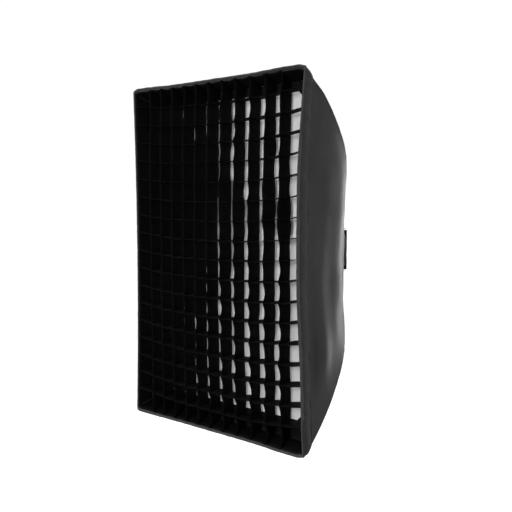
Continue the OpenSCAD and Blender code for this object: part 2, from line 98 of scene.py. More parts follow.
# ---------------------------------------------------------------- materials
class Nodes:
    """A material and short calls for the nodes that make it."""

    def __init__(self, name):
        self.mat = bpy.data.materials.new(name)
        self.mat.use_nodes = True
        self.tree = self.mat.node_tree
        self.bsdf = self.tree.nodes["Principled BSDF"]

    def add(self, kind, props=None, **inputs):
        """A new node; an input is given by its name, or as i0, i1, ... by its number."""
        n = self.tree.nodes.new("ShaderNode" + kind)
        for key, value in (props or {}).items():
            setattr(n, key, value)
        for key, value in inputs.items():
            by_number = key[0] == "i" and key[1:].isdigit()
            self.feed(n.inputs[int(key[1:]) if by_number else key], value)
        return n

    def feed(self, socket, value):
        if isinstance(value, bpy.types.NodeSocket):
            self.tree.links.new(value, socket)
        else:
            socket.default_value = value

    def math(self, op, a, b=0.0):
        return self.add("Math", {"operation": op}, i0=a, i1=b).outputs[0]

    def span(self, value, a, b, c, d):
        """The value's run from a to b carried over to a run from c to d."""
        return self.add("MapRange", {"clamp": True}, i0=value, i1=a, i2=b, i3=c, i4=d).outputs[0]

    def noise(self, coords, scale, detail=2.0, rough=0.5):
        return self.add("TexNoise", Vector=coords, Scale=scale, Detail=detail, Roughness=rough).outputs[0]

    def mix(self, share, a, b):
        n = self.add("Mix", {"data_type": "RGBA"})
        self.feed(n.inputs[0], share)
        self.feed(n.inputs[6], a)
        self.feed(n.inputs[7], b)
        return n.outputs[2]

    def set(self, **values):
        for key, value in values.items():
            self.feed(self.bsdf.inputs[key.replace("_", " ")], value)

    def bump(self, height):
        self.set(Normal=self.add("Bump", Strength=1.0, Distance=1.0, Height=height).outputs[0])

    def attribute(self, name):
        return self.add("Attribute", {"attribute_name": name}).outputs["Fac"]

    def object_place(self):
        return self.add("TexCoord").outputs["Object"]


def grey(v, tint=(1.0, 1.0, 1.0)):
    return (v * tint[0], v * tint[1], v * tint[2], 1.0)


def cloth(name, dark, light, rough, weave, height, crease=0.0, sheen=0.0, stitch=(), specular=0.5,
          ribs=False, tint=(1.0, 1.0, 1.0)):
    """Woven cloth: warp and weft, slubs in the yarn, soft creases, worn patches and stitched seams.

    stitch lists how many millimetres in from an edge each row of stitches runs.
    """
    n = Nodes(name)
    uv = n.add("UVMap", {"uv_map": "UVMap"}).outputs[0]
    axes = n.add("SeparateXYZ", i0=uv)
    turn = 2 * math.pi / weave
    warp = n.math("SINE", n.math("MULTIPLY", axes.outputs[0], turn))
    weft = n.math("SINE", n.math("MULTIPLY", axes.outputs[1], turn))
    woven = weft if ribs else n.math("MULTIPLY", warp, weft)
    place = n.object_place()
    patches = n.noise(place, 7.0, 4.0, 0.6)
    slubs = n.noise(n.add("Mapping", Vector=uv, Scale=(14.0, 900.0, 1.0)).outputs[0], 1.0, 2.0)
    shade = n.math("ADD", n.math("MULTIPLY", patches, 0.75), n.math("MULTIPLY", slubs, 0.35))
    shade = n.math("ADD", shade, n.math("MULTIPLY", woven, 0.10))
    colour = n.mix(n.span(shade, 0.30, 0.80, 0.0, 1.0), grey(dark, tint), grey(light, tint))
    high = n.math("ADD", n.math("MULTIPLY", woven, height), n.math("MULTIPLY", slubs, height * 1.2))
    if crease:
        folds = n.noise(place, 22.0, 3.0, 0.55)
        high = n.math("ADD", high, n.math("MULTIPLY", folds, crease))
    if stitch:
        edge, run = n.attribute("edge"), n.attribute("run")
        dash = n.span(n.math("SINE", n.math("MULTIPLY", run, 2 * math.pi / 3.2)), -0.5, 0.1, 0.0, 1.0)
        thread_colour = grey(min(0.6, light * 1.9))
        for at in stitch:
            off = n.math("ABSOLUTE", n.math("SUBTRACT", edge, at))
            thread = n.math("MULTIPLY", n.span(off, 0.25, 0.6, 1.0, 0.0), dash)
            groove = n.span(off, 0.0, 1.8, 1.0, 0.0)
            high = n.math("ADD", high, n.math("MULTIPLY", thread, 0.00025))
            high = n.math("SUBTRACT", high, n.math("MULTIPLY", groove, 0.0003))
            colour = n.mix(n.math("MULTIPLY", thread, 0.8), colour, thread_colour)
    n.bump(high)
    n.set(Base_Color=colour, Roughness=n.span(patches, 0.3, 0.75, rough + 0.05, rough - 0.05),
          Sheen_Weight=sheen, Sheen_Roughness=0.4, Specular_IOR_Level=specular)
    return n


def fuzzy(name, dark, light, cell):
    """Hook-and-loop tape: a mat of tiny loops, each about one cell across."""
    n = Nodes(name)
    place = n.object_place()
    loops = n.add("TexVoronoi", Vector=place, Scale=1.0 / cell, Randomness=1.0).outputs["Distance"]
    fine = n.noise(place, 3.0 / cell, 3.0, 0.7)
    patches = n.noise(place, 30.0, 2.0)
    shade = n.math("ADD", n.math("MULTIPLY", loops, 0.8), n.math("MULTIPLY", patches, 0.4))
    n.set(Base_Color=n.mix(n.span(shade, 0.2, 1.0, 0.0, 1.0), grey(light), grey(dark)),
          Roughness=n.span(fine, 0.3, 0.7, 0.8, 0.95),
          Sheen_Weight=0.03, Sheen_Roughness=0.5, Specular_IOR_Level=0.08)
    n.bump(n.math("ADD", n.math("MULTIPLY", loops, -0.0006), n.math("MULTIPLY", fine, 0.0005)))
    return n


def metal(name, base, rough, brushed=(60.0, 60.0, 900.0), metallic=1.0, spots=0.0):
    """Turned, drawn or painted metal: fine tool marks, smudges, and paint worn through in spots."""
    n = Nodes(name)
    place = n.object_place()
    lines = n.noise(n.add("Mapping", Vector=place, Scale=brushed).outputs[0], 1.0, 2.0)
    smudge = n.noise(place, 26.0, 4.0, 0.6)
    worn = n.noise(place, 160.0, 3.0, 0.65)
    share = n.math("ADD", n.math("MULTIPLY", smudge, 0.6), n.math("MULTIPLY", lines, 0.4))
    colour = n.mix(n.span(share, 0.3, 0.75, 0.0, 1.0), (*[c * 0.72 for c in base], 1.0), (*base, 1.0))
    if spots:
        colour = n.mix(n.span(worn, 0.66, 0.74, 0.0, spots), colour, (0.45, 0.45, 0.46, 1.0))
    n.set(Base_Color=colour, Roughness=n.span(share, 0.3, 0.7, rough + 0.14, rough), Metallic=metallic)
    n.bump(n.math("ADD", n.math("MULTIPLY", lines, 0.00003), n.math("MULTIPLY", worn, 0.00002)))
    return n


def plastic(name, base, rough):
    """Moulded plastic with a fine etched grain and handling marks."""
    n = Nodes(name)
    place = n.object_place()
    grain = n.add("TexVoronoi", Vector=place, Scale=2200.0).outputs["Distance"]
    rub = n.noise(place, 90.0, 3.0, 0.6)
    n.set(Base_Color=n.mix(n.span(rub, 0.35, 0.7, 0.0, 1.0), grey(base), grey(base * 1.7)),
          Roughness=n.span(rub, 0.3, 0.7, rough + 0.12, rough - 0.06))
    n.bump(n.math("MULTIPLY", grain, 0.00006))
    return n


def white_cloth(name, base):
    """Translucent white nylon that scatters light on both sides."""
    n = cloth(name, base * 0.94, base, 0.62, 0.0007, 0.00004, crease=0.0007, sheen=0.1)
    through = n.add("BsdfTranslucent", Color=grey(0.8))
    both = n.add("MixShader", i0=0.25, i1=n.bsdf.outputs[0], i2=through.outputs[0])
    n.tree.links.new(both.outputs[0], n.tree.nodes["Material Output"].inputs[0])
    return n


COOL = (1.0, 1.01, 1.04)
SHELL = cloth("shell_nylon", 0.0066, 0.0100, 0.42, 0.0007, 0.00003, crease=0.0008, sheen=0.02,
              stitch=(4.5, 8.0), specular=0.38, tint=COOL)
LIP = cloth("lip_nylon", 0.0095, 0.0135, 0.40, 0.0007, 0.00003, crease=0.0008, sheen=0.02,
            stitch=(4.5, 8.0), specular=0.35, tint=COOL)
BINDING = cloth("binding_grosgrain", 0.016, 0.028, 0.62, 0.0012, 0.00010, sheen=0.15, stitch=(2.0,),
                ribs=True)
NECK = cloth("neck_nylon", 0.0015, 0.0032, 0.75, 0.0009, 0.00006, crease=0.0006, stitch=(3.0,),
             specular=0.06)
GRID = cloth("grid_cloth", 0.0019, 0.0038, 0.70, 0.0008, 0.00005, crease=0.0006, stitch=(3.0,),
             specular=0.05)
WEBBING = cloth("black_webbing", 0.010, 0.020, 0.70, 0.0018, 0.00016, sheen=0.15, ribs=True)
POCKET = cloth("pocket_webbing", 0.002, 0.005, 0.80, 0.0018, 0.00016, ribs=True, specular=0.08)
LINING = cloth("silver_lining", 0.42, 0.62, 0.34, 0.0022, 0.00009, crease=0.0016, tint=(1.0, 1.0, 1.02))
LINING.set(Metallic=0.75)
HOOK = fuzzy("hook_and_loop", 0.0012, 0.0045, 0.0014)
DIFFUSER = white_cloth("diffuser_nylon", 0.86)

# ---------------------------------------------------------------- the cloth's surface, in millimetres
# The corner seam is a straight run and two tangent arcs, as in the CAD model. way is its direction in
# degrees from the box axis; past LEAVE it counts millimetres along the straight run. inset is inward.
LEAVE, MEET, ARRIVE = 70.0, 38.3, 24.4
RING_R, SEAM_DEPTH, STRAIGHT_RUN = 76.0, 487.0, 36.0
HALF = np.array([300.0, 450.0])
SEAT = 488.7
BACK_WAY = 89.0
LIP_D = 45.0
ROD_INSET = 10.3
SIDE_PULL, END_PULL = 19.0, 8.0
RIM_BOW, BOW_REACH = 8.0, 90.0
PROUD = 4.3
GATHER_R = 240.0
CORNER_R = float(np.hypot(*HALF))
UX, UZ = HALF / CORNER_R


def rad(a):
    return np.radians(a)


BEND_R = RING_R + STRAIGHT_RUN * math.sin(rad(LEAVE))
BEND_D = SEAM_DEPTH - STRAIGHT_RUN * math.cos(rad(LEAVE))
a1, b1 = math.cos(rad(MEET)) - math.cos(rad(LEAVE)), math.sin(rad(LEAVE)) - math.sin(rad(MEET))
a2, b2 = math.cos(rad(ARRIVE)) - math.cos(rad(MEET)), math.sin(rad(MEET)) - math.sin(rad(ARRIVE))
DET = a1 * b2 - a2 * b1
REAR_R = ((CORNER_R - BEND_R) * b2 - a2 * BEND_D) / DET
FORE_R = (a1 * BEND_D - (CORNER_R - BEND_R) * b1) / DET
REAR_C = (BEND_R - REAR_R * math.cos(rad(LEAVE)), BEND_D - REAR_R * math.sin(rad(LEAVE)))
FORE_C = (CORNER_R - FORE_R * math.cos(rad(ARRIVE)), -FORE_R * math.sin(rad(ARRIVE)))


def seam(way, inset):
    """Distance from the box axis and depth behind the front plane of a point of the corner seam."""
    way = np.asarray(way, float)
    t = rad(np.minimum(way, LEAVE))
    rear = way > MEET
    r = np.where(rear, REAR_R, FORE_R) - inset
    past = np.maximum(way - LEAVE, 0)
    return (np.where(rear, REAR_C[0], FORE_C[0]) + r * np.cos(t) - past * math.sin(rad(LEAVE)),
            np.where(rear, REAR_C[1], FORE_C[1]) + r * np.sin(t) + past * math.cos(rad(LEAVE)))


BACK_R = float(seam(BACK_WAY, 0)[0])
WAYS = np.linspace(ARRIVE - 0.2, BACK_WAY, 3000)


def way_at(depth, inset=0.0):
    return np.interp(depth, seam(WAYS, inset)[1], WAYS)


def way_past_front(depth, inset):
    """way_at carried on in front of the opening, where the fore arc is nearly straight."""
    return ARRIVE + np.degrees((depth - seam(ARRIVE, inset)[1]) / (FORE_R * math.cos(rad(ARRIVE))))


def stations(first, last, count):
    """Ways evenly spaced along the corner seam."""
    ways = np.linspace(first, last, 800)
    r, d = seam(ways, 0)
    length = np.concatenate([[0], np.cumsum(np.hypot(np.diff(r), np.diff(d)))])
    return np.interp(np.linspace(0, length[-1], count), length, ways)


def step(x, a, b):
    t = np.clip((x - a) / (b - a), 0, 1)
    return t * t * (3 - 2 * t)


def ridge(x, at, width):
    return np.exp(-((x - at) / width) ** 2)


def is_long(side):
    return side in ("right", "left")


def panel(side, s, way, inset):
    """A point of one of the four panels: s runs from -1 to 1 between its two corner seams."""
    c, depth = seam(way, inset)
    r = seam(way, 0)[0]
    # cloth stands a little proud of the rods, less over the upper corners of the lip
    up = {"right": (1 + s) / 2, "left": (1 - s) / 2, "top": 1.0, "bottom": 0.0}[side]
    proud = (up * step(depth, 52, 125) + (1 - up) * step(depth, 2, 22)) * (1 - step(depth, 300, 440))
    c = c + PROUD * proud
    # beside the ring the panels bulge, most at mid-panel, where w is 1
    near = np.maximum(0, (GATHER_R - r) / (GATHER_R - BACK_R))
    w = 1 - np.abs(s) ** (2 + 2 * near)
    y = depth - SEAT + 5.6 * near ** 2 * w
    if is_long(side):
        x = c * UX + (37 * near ** 2 - SIDE_PULL * (0.4 + 0.6 * (r / CORNER_R) ** 3)) * w
        y = y - RIM_BOW * np.maximum(0, 1 - depth / BOW_REACH) * w
        z = s * c * UZ
        if side == "right":
            slack = 0.28 - 0.2 * ridge(s, 0.52, 0.2) + 0.5 * ridge(s, -0.62, 0.32)
            x = x + 18 * slack * w * np.clip(1 - depth / 230, 0, 1) ** 2
    else:
        x = -s * c * UX
        dip = END_PULL * np.sin(np.pi * (r - BACK_R) / (CORNER_R - BACK_R))
        z = c * UZ + (9 * near ** 2 - dip) * w
        # the rim rises towards its corners, less at the lower right
        ends = step(np.abs(x), 130, 240) * step(np.abs(s), 1.0, 0.93) * np.clip(1 - depth / 40, 0, 1)
        z = z + np.where((x > 0) & (side == "bottom"), 1.2, 3.2) * ends
    # the corners of the front are a little rounded, by an amount of their own
    turn = -1 if side in ("left", "bottom") else 1
    from_corner = (1 - np.abs(s)) * c * (UZ if is_long(side) else UX)
    radius = np.where(turn * x < 0, 3.2, np.where(turn * z < 0, 0.3, 1.4))
    soft = radius * np.clip(1 - depth / 60, 0, 1) ** 2 * np.clip(1 - from_corner / 13, 0, 1) ** 2
    x, z = x - np.sign(x) * soft * UX, z - np.sign(z) * soft * UZ
    return np.stack(np.broadcast_arrays(turn * x, y, turn * z), -1)


def wall_right(z, depth, inset):
    """How far the right panel is from the middle plane at a height and a depth."""
    way = way_at(depth, inset)
    return panel("right", z / (seam(way, inset)[0] * UZ), way, inset)[..., 0]


def wall_left(z, depth, inset):
    way = way_at(depth, inset)
    return -panel("left", -z / (seam(way, inset)[0] * UZ), way, inset)[..., 0]


def wall_top(x, depth, inset):
    way = way_at(depth, inset)
    return panel("top", -x / (seam(way, inset)[0] * UX), way, inset)[..., 2]


# ---------------------------------------------------------------- from grids of points to pieces
def ripple(u, v, length, seed, count=9):
    """Smooth seeded noise of about one unit, with features about this long."""
    g = np.random.default_rng(seed)
    total = np.zeros(np.broadcast(u, v).shape)
    for _ in range(count):
        a, f = g.uniform(0, 2 * np.pi), g.uniform(0.6, 1.5) / length
        total = total + np.sin(2 * np.pi * f * (u * np.cos(a) + v * np.sin(a)) + g.uniform(0, 6.28))
    return total / math.sqrt(count)


def lengths(points, axis):
    """Mean distance run along one axis of a grid of points."""
    apart = np.linalg.norm(np.diff(points, axis=axis), axis=-1).mean(1 - axis)
    return np.concatenate([[0], np.cumsum(apart)])


def cloth_uv(u, v):
    return np.stack(np.broadcast_arrays(u, v), -1) / 1000


def to_mesh(name, parts, nodes, body, thick=0.0, inward=True, closed=False):
    """One object from grids of points in millimetres, given as (points, uv, edge, run).

    edge is the distance from the nearest sewn edge and run the distance along it, for the stitches.
    A closed grid joins its last column to its first. A piece with no body gets its thickness as mesh.
    """
    verts, faces, uvs, edges, runs, base = [], [], [], [], [], 0
    for points, uv, edge, run in parts:
        n, m = points.shape[:2]
        index = base + np.arange(n * m).reshape(n, m)
        if closed:
            index = np.concatenate([index, index[:, :1]], 1)
        quads = np.stack([index[:-1, :-1], index[1:, :-1], index[1:, 1:], index[:-1, 1:]], -1)
        verts.append(points.reshape(-1, 3) / 1000)
        faces.append(quads.reshape(-1, 4))
        uvs.append(uv.reshape(-1, 2))
        edges.append(np.broadcast_to(edge, (n, m)).ravel())
        runs.append(np.broadcast_to(run, (n, m)).ravel())
        base += n * m
    mesh = bpy.data.meshes.new(name)
    mesh.from_pydata(np.concatenate(verts).tolist(), [], np.concatenate(faces).tolist())
    loops = np.empty(len(mesh.loops), int)
    mesh.loops.foreach_get("vertex_index", loops)
    at_loops = np.concatenate(uvs)[loops].astype(np.float32)
    mesh.uv_layers.new(name="UVMap").data.foreach_set("uv", at_loops.ravel())
    for key, values in (("edge", edges), ("run", runs)):
        values = np.concatenate(values).astype(np.float32)
        mesh.attributes.new(key, "FLOAT", "POINT").data.foreach_set("value", values)
    mesh.polygons.foreach_set("use_smooth", [True] * len(mesh.polygons))
    piece = bpy.data.objects.new(name, mesh)
    bpy.context.collection.objects.link(piece)
    mesh.materials.append(nodes.mat)
    if thick:
        solid = piece.modifiers.new("cloth_thickness", "SOLIDIFY")
        solid.thickness = thick / 1000
        solid.offset = -1.0 if inward else 0.0
    if body:
        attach(piece, body)
    else:
        evaluated = piece.evaluated_get(bpy.context.evaluated_depsgraph_get())
        whole = bpy.data.meshes.new_from_object(evaluated)
        piece.modifiers.clear()
        piece.data = whole
    return piece


def stand_for(node):
    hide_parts(node)


def clustered(count, power=1.5):
    """Stations from -1 to 1, closer together towards both ends."""
    t = np.linspace(-1, 1, count)
    return np.sign(t) * (1 - (1 - np.abs(t)) ** power)


AWAY = {"right": (1.0, 0, 0), "left": (-1.0, 0, 0), "top": (0, 0, 1.0), "bottom": (0, 0, -1.0)}


def normals(points, side):
    """The grid's unit normals, and how far they point away from the box axis on the whole."""
    n = np.cross(np.gradient(points, axis=0), np.gradient(points, axis=1))
    n = n / np.maximum(np.linalg.norm(n, axis=-1, keepdims=True), 1e-9)
    return n, (n @ np.array(AWAY[side])).mean()


def side_sheet(name, side, ways, inset, relief, nodes, thick, cols):
    """One panel of cloth between two seams, raised by relief(run, depth, edge, across)."""
    s = clustered(cols)
    base = panel(side, s[None, :], ways[:, None], inset)
    half = seam(ways, inset)[0][:, None] * (UZ if is_long(side) else UX)
    edge = (1 - np.abs(s))[None, :] * half
    along = lengths(base, 0)
    depth = base[..., 1] + SEAT
    # beside a seam both panels move along the seam's own direction, so that they stay joined
    lean = rad(np.minimum(ways, LEAVE))[:, None] + 0 * edge
    shared = np.stack([np.sign(base[..., 0]) * UX * np.cos(lean), np.sin(lean),
                       np.sign(base[..., 2]) * UZ * np.cos(lean)], -1)
    share = ridge(edge, 0, 4.0)[..., None]
    n, away = normals(base, side)
    up = n * np.sign(away) * (1 - share) + shared * share
    points = base + up * relief(along[:, None], depth, edge, s[None, :] * half)[..., None]
    if normals(points, side)[1] <= 0:
        points, base = points[::-1], base[::-1]
        edge, along = edge[::-1], along[::-1]
    uv = cloth_uv(points[..., 2 if is_long(side) else 0], along[:, None])
    return to_mesh(name, [(points, uv, edge, along[:, None])], nodes, "softbox", thick), base


# ---------------------------------------------------------------- shell, lip, lining
def swell(side, across, depth):
    """Slack of the right panel: it fills above the neck and low down, and falls in a little below it."""
    if side != "right":
        return 0 * across * depth
    return (5.0 * ridge(across, 150, 110) * ridge(depth, 265, 65)
            + 3.0 * ridge(across, -170, 100) * ridge(depth, 250, 60)
            + 12.0 * ridge(across, -220, 85) * ridge(depth, 135, 58) * step(depth, LIP_D + 1, 90)
            - 2.5 * ridge(across, -140, 60) * ridge(depth, 350, 60))


def to_ring(depth):
    """1 over most of the depth, fading where the cloth is held at the ring."""
    return np.clip((487.5 - depth) / 4.0, 0.15, 1)


def shell_relief(side, seed):
    def relief(run, depth, edge, across):
        h = -0.9 * ridge(edge, 0, 1.6) + 0.45 * ridge(edge, 5.0, 4.0)
        off_seam = 1 - ridge(edge, 0, 2.5)
        pucker = ripple(run, edge * 0.3, 21.0, seed, 5)
        h = h + 0.55 * pucker * np.exp(-edge / 13.0) * off_seam
        front = np.abs(depth - LIP_D)
        h = h - 0.6 * ridge(front, 0, 1.8)
        h = h + 0.45 * ripple(across, front * 0.4, 24.0, seed + 1, 5) * np.exp(-front / 12.0) * off_seam
        open_cloth = 1 - np.exp(-edge / 45.0)
        h = h + 0.75 * ripple(across, run, 170.0, seed + 2) * open_cloth
        # drawn folds that fan out from the two ends of the ring
        rear = np.clip((depth - 250.0) / 150.0, 0, 1) * np.clip((484.0 - depth) / 25.0, 0, 1)
        fan = np.arctan2(across, 560.0 - depth)
        drawn = 0.6 if side == "right" else 1.2
        h = h + drawn * np.sin(15.0 * fan + 2.0 * ripple(run, across, 160.0, seed + 3)) * rear * open_cloth
        if side == "right":
            h = h + 2.2 * ridge(depth, 372 - 0.00035 * across ** 2, 17.0) * rear * open_cloth
        return (h + swell(side, across, depth)) * to_ring(depth)
    return relief


def lip_relief(seed):
    def relief(run, depth, edge, across):
        corner = np.exp(-edge / 30.0)
        off_seam = 1 - ridge(edge, 0, 3.0)
        h = 1.0 + 1.6 * np.sin(np.pi * np.clip(depth / LIP_D, 0, 1)) ** 0.7 * (0.7 + 0.8 * corner)
        h = h - 0.8 * ridge(edge, 0, 1.6) + 0.35 * ridge(edge, 5.0, 4.0)
        h = h + 0.5 * ripple(across, depth * 0.3, 26.0, seed, 5) * np.clip(depth / 12.0, 0, 1) * off_seam
        h = h + 0.5 * ripple(across, depth, 90.0, seed + 1) * off_seam
        # the rear edge turns in and under the shell
        under = step(depth, LIP_D - 1.6, LIP_D + 0.4)
        return h * (1 - under) - 1.9 * under
    return relief


def lining_relief(side, seed):
    def relief(run, depth, edge, across):
        slack = -np.abs(0.8 * ripple(across, run, 60.0, seed)) * (1 - np.exp(-edge / 12.0)) - 0.2
        return slack + np.minimum(0, swell(side, across, depth)) * to_ring(depth)
    return relief


shell_ways = stations(way_at(LIP_D + 0.2), BACK_WAY, 132)
lip_ways = stations(way_at(1.5), way_at(LIP_D + 2.4), 30)
lining_ways = stations(way_at(LIP_D + 5.5), BACK_WAY, 60)
for number, side in enumerate(SIDES):
    cols = 150 if is_long(side) else 110
    piece, base = side_sheet("shell_cloth_" + side, side, shell_ways, 0.0,
                             shell_relief(side, 100 + 10 * number), SHELL, 0.6, cols)
    stand_for("shell_" + side)
    piece, base = side_sheet("lip_cloth_" + side, side, lip_ways, 0.0, lip_relief(200 + 10 * number),
                             LIP, 0.8, cols)
    stand_for("lip_" + side)
    piece, base = side_sheet("silver_lining_" + side, side, lining_ways, 2.9,
                             lining_relief(side, 300 + number), LINING, 0.3, 70 if is_long(side) else 50)
    stand_for("lining_" + side)


# ---------------------------------------------------------------- binding round the rim
def round_trip(count):
    """Stations round the four sides: the side's name and s, in order."""
    s = clustered(count, 1.35)[:-1]
    return [(side, t) for side in ("right", "top", "left", "bottom") for t in s]


# the folded tape's outline as (depth, inset)
RIM_SECTION = [(9.3, -0.8), (9.4, -1.9), (8.6, -2.5), (5.0, -2.7), (1.2, -2.4), (-0.5, -1.3), (-1.0, 0.8),
               (-0.5, 2.8), (1.2, 3.7), (5.0, 3.9), (8.6, 3.7), (9.4, 3.3), (9.3, 2.6), (5.0, 2.5),
               (2.0, 2.2), (1.4, 0.9), (2.0, -0.5)]


def rim_tape():
    rows = []
    for depth, inset in RIM_SECTION:
        way = float(way_at(depth, inset) if depth > 0.4 else way_past_front(depth, inset))
        rows.append([panel(side, np.float64(t), way, inset) for side, t in round_trip(90)])
    points = np.array(rows)
    push = 0.35 * ripple(lengths(points, 1)[None, :], np.zeros(1), 34.0, 61, 6)
    flat = points * [1, 0, 1]
    out = flat / np.linalg.norm(flat, axis=-1, keepdims=True)
    points = points + out * np.broadcast_to(push, points.shape[:2])[..., None]
    run, edge = lengths(points, 1), lengths(points, 0)
    uv = cloth_uv(edge[:, None], run[None, :])
    # the first row again closes the section
    points = np.concatenate([points, points[:1]])
    uv = np.concatenate([uv, uv[:1] + [[edge[-1] / 1000, 0]]])
    edge = np.append(edge, edge[-1] + 2)
    return to_mesh("rim_binding_tape", [(points, uv, edge[:, None], run[None, :])], BINDING, "softbox",
                   closed=True)


rim = rim_tape()
stand_for("rim_binding")

# ---------------------------------------------------------------- grid
COLS, ROWS = 11, 17
FRONT_D, BACK_D = 1.6, 43.0
BORDER_IN = 4.5
STEPS, DEEP = 9, 9
TOP = 450.0
MID_HALF = 276.0
col_x = np.array([-228.0, -185.0, -141.0, -97.0, -53.0, -9.5, 36.5, 83.0, 132.5, 181.0, 228.5])
row_z = 2.0 + (np.arange(ROWS) - 8) * 49.35
q_at = np.linspace(0, 1, DEEP)
depth_at = FRONT_D + (BACK_D - FRONT_D) * q_at
edge_at = np.minimum(depth_at - FRONT_D, BACK_D - depth_at)

rng = np.random.default_rng(11)
front_jit = rng.normal(0, 1.0, (COLS, ROWS, 2)) * [1.3, 0.7]
back_jit = rng.normal(0, 1.0, (COLS, ROWS, 2)) * [0.9, 0.5]


def col_at(k, z):
    """An upright strip's place at a height; the left ones are drawn in a little with their rim."""
    return col_x[k] + min(0.0, col_x[k]) * 0.03 * (z / TOP) ** 2


def hang(x):
    """Level strips are sewn to the sides a little high and sag between them."""
    return 15.0 * (np.abs(x) / MID_HALF) ** 3 - 4.5


def forward(x, z, q):
    """How far the grid's edges stand forward of a flat front."""
    bow = RIM_BOW * (1 - (FRONT_D + (BACK_D - FRONT_D) * q) / BOW_REACH)
    return (bow + 3 * (1 - (x / MID_HALF) ** 2)) * (1 - (z / TOP) ** 2)


def crossing(k, i, q):
    z = row_z[i] + front_jit[k, i, 1] * (1 - q) + back_jit[k, i, 1] * q
    x = col_at(k, row_z[i]) + front_jit[k, i, 0] * (1 - q) + back_jit[k, i, 0] * q
    return x, z + hang(x)


def scallop(position, strips):
    """0 at the strips and 1 halfway between them."""
    turns = np.interp(position, strips, np.arange(len(strips)), left=-0.5, right=len(strips) - 0.5)
    return np.abs(np.sin(np.pi * turns)) ** 0.8


def border_points(side, t, q):
    """The border strip lies against the lip's tape and hangs in soft scallops between the strips."""
    way = way_at(FRONT_D + (BACK_D - FRONT_D) * q, BORDER_IN)
    p = panel(side, t, way, BORDER_IN)
    if is_long(side):
        sag = scallop(p[2], row_z) * 0.7 * (1 - 0.6 * q)
        return p - [np.sign(p[0]) * sag, 0, 0]
    sag = scallop(p[0], col_x) * (4.2 if side == "top" else 2.2) * (1 - 0.75 * q)
    return p - [0, 0, np.sign(p[2]) * sag]


def bulges(g, upright, index):
    """How far each cell of a strip is pushed aside at its front and back edges, and where it leans."""
    cells = np.arange((ROWS if upright else COLS) + 1)
    count = len(cells)
    phase, speed = g.uniform(0, 6.28), g.uniform(0.7, 1.5)
    if not upright:
        upper = 1 - index / (ROWS - 1)
        front = -0.8 - np.abs(g.normal(0.6, 0.6, count)) - 0.6 * upper
        back = g.normal(0.3, 0.6, count) + 3.6 * upper ** 2 * g.uniform(0.3, 1.0, count)
        return front, back, g.uniform(0.4, 0.6, count)
    low = step(cells, 10.5, 6.5)
    wave = 2.0 * np.sin(phase + speed * cells)
    front = low * g.normal(5.0, 1.4, count) + (1 - low) * (wave + g.normal(1.0, 1.5, count))
    back = low * g.normal(0.8, 1.2, count) + (1 - low) * g.normal(0.0, 1.6, count)
    calm = np.interp(index, [0, 3, 6], [0.4, 0.6, 1])
    return front * calm, back * calm, g.uniform(0.35, 0.65, count)


def strip_grid(upright, index):
    """One strip as a grid of points, rows along its length and columns through its depth."""
    g = np.random.default_rng(1000 + index + (500 if upright else 0))
    inset = BORDER_IN + 0.6
    if upright:
        crossings = [crossing(index, j, q_at) for j in range(ROWS)]
        centre = end = col_at(index, TOP) + 0 * q_at
        high, low = wall_top(centre, depth_at, inset), -wall_top(centre, depth_at, inset)
    else:
        crossings = [crossing(j, index, q_at)[::-1] for j in range(COLS)]
        centre = row_z[index] + 0 * q_at
        high, low = wall_right(centre, depth_at, inset), -wall_left(centre, depth_at, inset)
        end = centre + hang(MID_HALF)
    offs = [end, *[off for off, _ in crossings], end]
    alongs = [low, *[along for _, along in crossings], high]
    front, back, lean = bulges(g, upright, index)
    last = len(crossings)
    along, off, ahead = [], [], []
    for j in range(last + 1):
        share = min(1.0, abs(alongs[j + 1][0] - alongs[j][0]) / 46.0)
        for t in np.linspace(0, 1, STEPS, endpoint=j == last):
            u = 0.5 * t / lean[j] if t < lean[j] else 0.5 + 0.5 * (t - lean[j]) / (1 - lean[j])
            bulge = math.sin(math.pi * u) * share
            along.append(alongs[j] * (1 - t) + alongs[j + 1] * t)
            aside = front[j] * (1 - q_at) ** 1.3 + back[j] * q_at ** 1.3
            off.append(offs[j] * (1 - t) + offs[j + 1] * t + bulge * aside)
            ahead.append(0.25 * bulge * np.abs(front[j]) * (1 - q_at))
    along, off, ahead = np.array(along), np.array(off), np.array(ahead)
    x, z = (off, along) if upright else (along, off)
    y = depth_at - SEAT - forward(x, z, q_at) + ahead
    return np.stack([x, y, z], -1)


def add_strip(way_up, index):
    points = strip_grid(way_up == "upright", index)
    long = lengths(points, 0)
    part = (points, cloth_uv(depth_at[None, :], long[:, None]), edge_at[None, :], long[:, None])
    piece = to_mesh("grid_strip_%s_%02d" % (way_up, index + 1), [part], GRID, "grid", 0.7, inward=False)
    stand_for("grid_strips_" + way_up)


def add_border():
    stops = [(side, np.float64(t)) for side in ("right", "top", "left", "bottom")
             for t in np.linspace(-1, 1, 145)[:-1]]
    rows = np.array([[border_points(side, t, q) for side, t in stops] for q in q_at])
    run = lengths(rows, 1)
    part = (rows, cloth_uv(depth_at[:, None], run[None, :]), edge_at[:, None], run[None, :])
    piece = to_mesh("grid_border_cloth", [part], GRID, "grid", 0.8, inward=False, closed=True)
    stand_for("grid_border")


add_border()
for k in range(COLS):
    add_strip("upright", k)
for k in range(ROWS):
    add_strip("level", k)


# ---------------------------------------------------------------- outlines round the opening
def side_place(t):
    """Side number and place from -1 to 1 along it, for a share t of one turn from the right side."""
    number, u = divmod((t * 4) % 4, 1)
    return int(number), 2 * u - 1


def on_rectangle(half, t):
    number, u = side_place(t)
    return [(half[0], u * half[1]), (-u * half[0], half[1]),
            (-half[0], -u * half[1]), (u * half[0], -half[1])][number]


